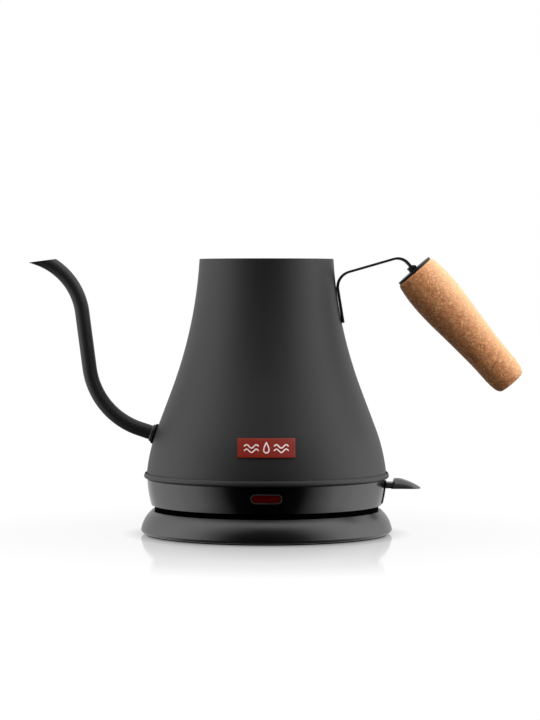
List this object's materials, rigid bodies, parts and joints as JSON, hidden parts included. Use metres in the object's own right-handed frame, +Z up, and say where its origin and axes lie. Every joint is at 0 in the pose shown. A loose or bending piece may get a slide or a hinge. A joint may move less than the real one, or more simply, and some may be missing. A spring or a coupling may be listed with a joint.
{
  "type": "gooseneck kettle",
  "caption": "Electric gooseneck pouring kettle with a tapered black body, slim curved spout, side cork grip, paddle switch and round cordless power base.",
  "frame": {"origin": "centre of the power base underside, on the surface that it stands on", "axes": "+Z up; spout towards -X, handle and switch lever towards +X; badge and lamp face -Y"},
  "size_m": [0.297, 0.1512, 0.1666],
  "materials": {
    "powder_coat": "matte powder coat",
    "steel": "brushed",
    "housing_plastic": "satin",
    "base_plastic": "satin",
    "cover_plastic": "matt, unlit gap",
    "inner_plastic": "moulded",
    "cork": "natural cork, sealed",
    "rubber": "matt",
    "silicone": "satin",
    "brass": "machined",
    "aluminium": "cast",
    "lens_red": "translucent red",
    "bezel_metal": "bright",
    "badge_red": "gloss enamel",
    "lead_sleeve": "satin"
  },
  "bodies": {
    "base": {"base_cover": "base_plastic", "base_tray": "base_plastic", "foot_ring": "rubber", "base_screws": "steel", "base_posts": "base_plastic", "base_socket": "housing_plastic", "base_contacts": "brass", "base_leads": "lead_sleeve", "cord_gland": "rubber"},
    "inlet": {"inlet_moulding": "inner_plastic", "earth_pin": "brass", "inner_contact_ring": "brass", "outer_contact_ring": "brass"},
    "kettle": {"body_shell": "powder_coat", "mouth_ring": "steel", "vessel_floor": "steel", "heat_diffuser": "aluminium", "heating_element": "aluminium", "steam_tube": "steel", "steam_grommet": "silicone", "spout_tube": "powder_coat", "spout_seal": "silicone", "spout_flange": "powder_coat", "spout_nut": "steel", "trim_ring": "powder_coat", "lower_housing": "housing_plastic", "bottom_cover": "cover_plastic", "cover_screws": "steel", "cover_posts": "housing_plastic", "control_block": "inner_plastic", "bimetal_disc": "steel", "contact_blades": "brass", "switch_escutcheon": "housing_plastic", "lever_bracket": "housing_plastic", "lever_pin": "steel", "trip_pin": "steel", "lamp_bezel": "bezel_metal", "lamp_lens": "lens_red", "indicator_lamp": "inner_plastic", "badge": "badge_red", "handle_strap": "powder_coat", "handle_ferrule": "powder_coat", "handle_end_cap": "powder_coat", "handle_stud": "steel", "grip_core": "steel", "core_insert": "brass", "cork_grip": "cork"},
    "lever": {"switch_lever": "housing_plastic"},
    "trip": {"trip_lever": "inner_plastic"}
  },
  "joints": [
    {"name": "kettle_lift", "type": "slide", "parent": "base", "child": "inlet", "axis": [0, 0, 1], "range_m": [0, 0.06]},
    {"name": "kettle_swivel", "type": "hinge", "parent": "inlet", "child": "kettle", "pos_m": [0, 0, 0.0134], "axis": [0, 0, 1], "continuous": true},
    {"name": "lever_rock", "type": "hinge", "parent": "kettle", "child": "lever", "pos_m": [0.061, 0, 0.029], "axis": [0, 1, 0], "range_deg": [0, 10]},
    {"name": "trip_rock", "type": "hinge", "parent": "kettle", "child": "trip", "pos_m": [0.039, 0, 0.029], "axis": [0, 1, 0], "range_deg": [-8.4, 0.1]}
  ],
  "couplings": [
    {"joint": "trip_rock", "follows": "lever_rock", "ratio": -0.83333}
  ]
}
